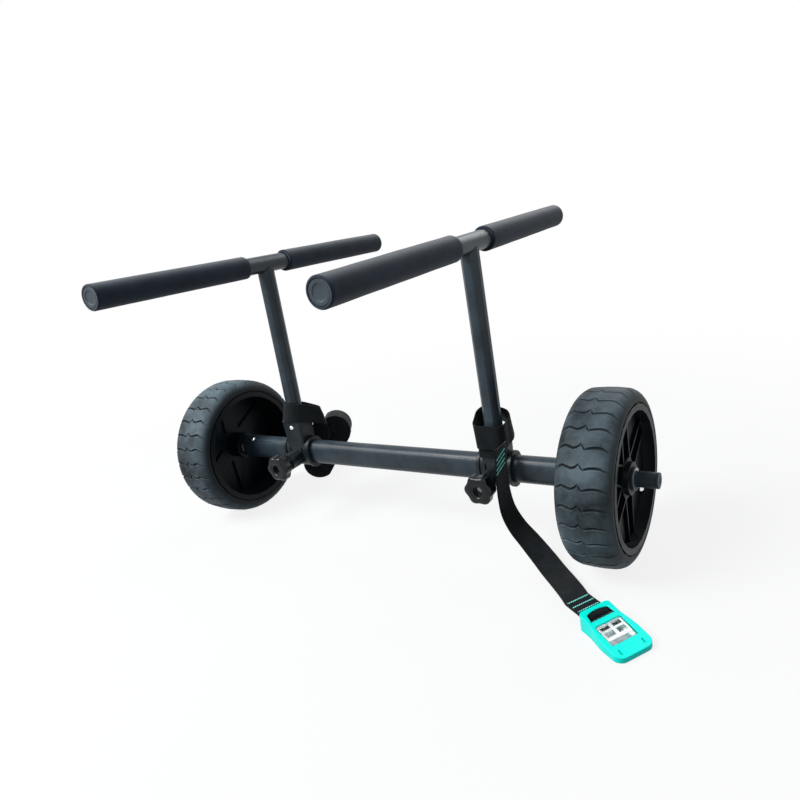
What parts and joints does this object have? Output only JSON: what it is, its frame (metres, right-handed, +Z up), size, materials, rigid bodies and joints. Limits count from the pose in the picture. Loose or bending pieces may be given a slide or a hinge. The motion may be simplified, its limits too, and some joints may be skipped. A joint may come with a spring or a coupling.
{
  "type": "kayak cart",
  "caption": "Two-wheeled cart that carries a kayak's hull on padded T-bars, which slide along an oval cross tube, with a cam-buckle tie-down strap.",
  "frame": {"origin": "on the ground, midway between the two wheels, below the axle", "axes": "+X along the cross tube toward the wheel beside the buckle, +Y backward along the T-bars, +Z up"},
  "size_m": [0.9105, 0.6485, 0.4947],
  "materials": {
    "paint": "satin black powder coat",
    "moulding": "moulded black nylon",
    "rim": "moulded black plastic",
    "tyre": "airless foam tyre, matte",
    "foam": "closed-cell foam sleeve",
    "plug": "grey-blue moulded plastic",
    "nylon": "nylon bush",
    "steel": "bright steel",
    "zinc": "zinc-plated steel",
    "webbing": "woven polyester webbing with teal stitches",
    "turquoise": "turquoise rubber-like moulding"
  },
  "bodies": {
    "frame": {"cross_tube": "paint", "left_tube_plug": "moulding", "right_tube_plug": "moulding", "left_stub_axle": "paint", "right_stub_axle": "paint", "left_rivet": "steel", "right_rivet": "steel", "left_axle_cap": "plug", "right_axle_cap": "plug", "left_inner_washer": "zinc", "left_outer_washer": "zinc", "right_inner_washer": "zinc", "right_outer_washer": "zinc", "left_axle_spring": "zinc", "right_axle_spring": "zinc"},
    "left_wheel": {"left_tyre": "tyre", "left_rim": "rim", "left_inner_bush": "nylon", "left_outer_bush": "nylon"},
    "right_wheel": {"right_tyre": "tyre", "right_rim": "rim", "right_inner_bush": "nylon", "right_outer_bush": "nylon"},
    "left_axle_release": {"left_axle_button": "steel"},
    "right_axle_release": {"right_axle_button": "steel"},
    "left_carrier": {"left_clamp_body": "moulding", "left_post": "paint", "left_bar": "paint", "left_front_foam": "foam", "left_back_foam": "foam", "left_front_plug": "plug", "left_back_plug": "plug", "left_bar_spring": "zinc", "left_strap_loop": "webbing", "left_strap_roll": "webbing", "left_strap_band": "webbing"},
    "right_carrier": {"right_clamp_body": "moulding", "right_post": "paint", "right_bar": "paint", "right_front_foam": "foam", "right_back_foam": "foam", "right_front_plug": "plug", "right_back_plug": "plug", "right_bar_spring": "zinc", "right_strap_loop": "webbing", "right_strap": "webbing", "right_strap_eye": "webbing", "buckle_cover": "turquoise", "buckle_frame": "steel", "buckle_cam_pin": "steel", "buckle_strap_bar": "steel", "buckle_cam_spring": "steel"},
    "left_bar_release": {"left_bar_button": "steel"},
    "right_bar_release": {"right_bar_button": "steel"},
    "left_screw": {"left_clamp_screw": "zinc"},
    "right_screw": {"right_clamp_screw": "zinc"},
    "left_star_knob": {"left_knob": "moulding"},
    "right_star_knob": {"right_knob": "moulding"},
    "cam_lever": {"buckle_cam_lever": "steel"}
  },
  "joints": [
    {"name": "left_wheel_spin", "type": "hinge", "parent": "frame", "child": "left_wheel", "pos_m": [-0.3711, 0, 0.12673], "axis": [1, 0, 0], "continuous": true},
    {"name": "right_wheel_spin", "type": "hinge", "parent": "frame", "child": "right_wheel", "pos_m": [0.3711, 0, 0.12673], "axis": [1, 0, 0], "continuous": true},
    {"name": "left_axle_button_press", "type": "slide", "parent": "frame", "child": "left_axle_release", "axis": [0, 0, 1], "range_m": [0, 0.0055], "stiffness_N_per_m": 900, "springref_m": -0.003, "deforming": ["left_axle_spring"]},
    {"name": "right_axle_button_press", "type": "slide", "parent": "frame", "child": "right_axle_release", "axis": [0, 0, 1], "range_m": [0, 0.0055], "stiffness_N_per_m": 900, "springref_m": -0.003, "deforming": ["right_axle_spring"]},
    {"name": "left_carrier_slide", "type": "slide", "parent": "frame", "child": "left_carrier", "axis": [1, 0, 0], "range_m": [-0.04, 0.13]},
    {"name": "right_carrier_slide", "type": "slide", "parent": "frame", "child": "right_carrier", "axis": [1, 0, 0], "range_m": [-0.155, 0.025]},
    {"name": "left_bar_button_press", "type": "slide", "parent": "left_carrier", "child": "left_bar_release", "axis": [0, 0.9993, -0.0384], "range_m": [0, 0.0055], "stiffness_N_per_m": 900, "springref_m": -0.003, "deforming": ["left_bar_spring"]},
    {"name": "right_bar_button_press", "type": "slide", "parent": "right_carrier", "child": "right_bar_release", "axis": [0, 1, 0], "range_m": [0, 0.0055], "stiffness_N_per_m": 900, "springref_m": -0.003, "deforming": ["right_bar_spring"]},
    {"name": "left_screw_travel", "type": "slide", "parent": "left_carrier", "child": "left_screw", "axis": [0, 1, 0], "range_m": [-0.0015, 0.0054]},
    {"name": "right_screw_travel", "type": "slide", "parent": "right_carrier", "child": "right_screw", "axis": [0, 1, 0], "range_m": [-0.0015, 0.0054]},
    {"name": "left_knob_turn", "type": "hinge", "parent": "left_screw", "child": "left_star_knob", "pos_m": [-0.2042, -0.064, 0.12173], "axis": [0, 1, 0], "range_deg": [-361, 1297]},
    {"name": "right_knob_turn", "type": "hinge", "parent": "right_screw", "child": "right_star_knob", "pos_m": [0.1974, -0.064, 0.12173], "axis": [0, 1, 0], "range_deg": [-361, 1297]},
    {"name": "cam_lever_press", "type": "hinge", "parent": "right_carrier", "child": "cam_lever", "pos_m": [0.40684, -0.16999, 0.0114], "axis": [0.5519, 0.8339, 0], "range_deg": [0, 9], "stiffness_Nm_per_rad": 0.3, "springref_deg": -17.19, "deforming": ["buckle_cam_spring"]}
  ],
  "couplings": [
    {"joint": "left_knob_turn", "follows": "left_screw_travel", "rad_per_m": 4188.8},
    {"joint": "right_knob_turn", "follows": "right_screw_travel", "rad_per_m": 4188.8}
  ]
}
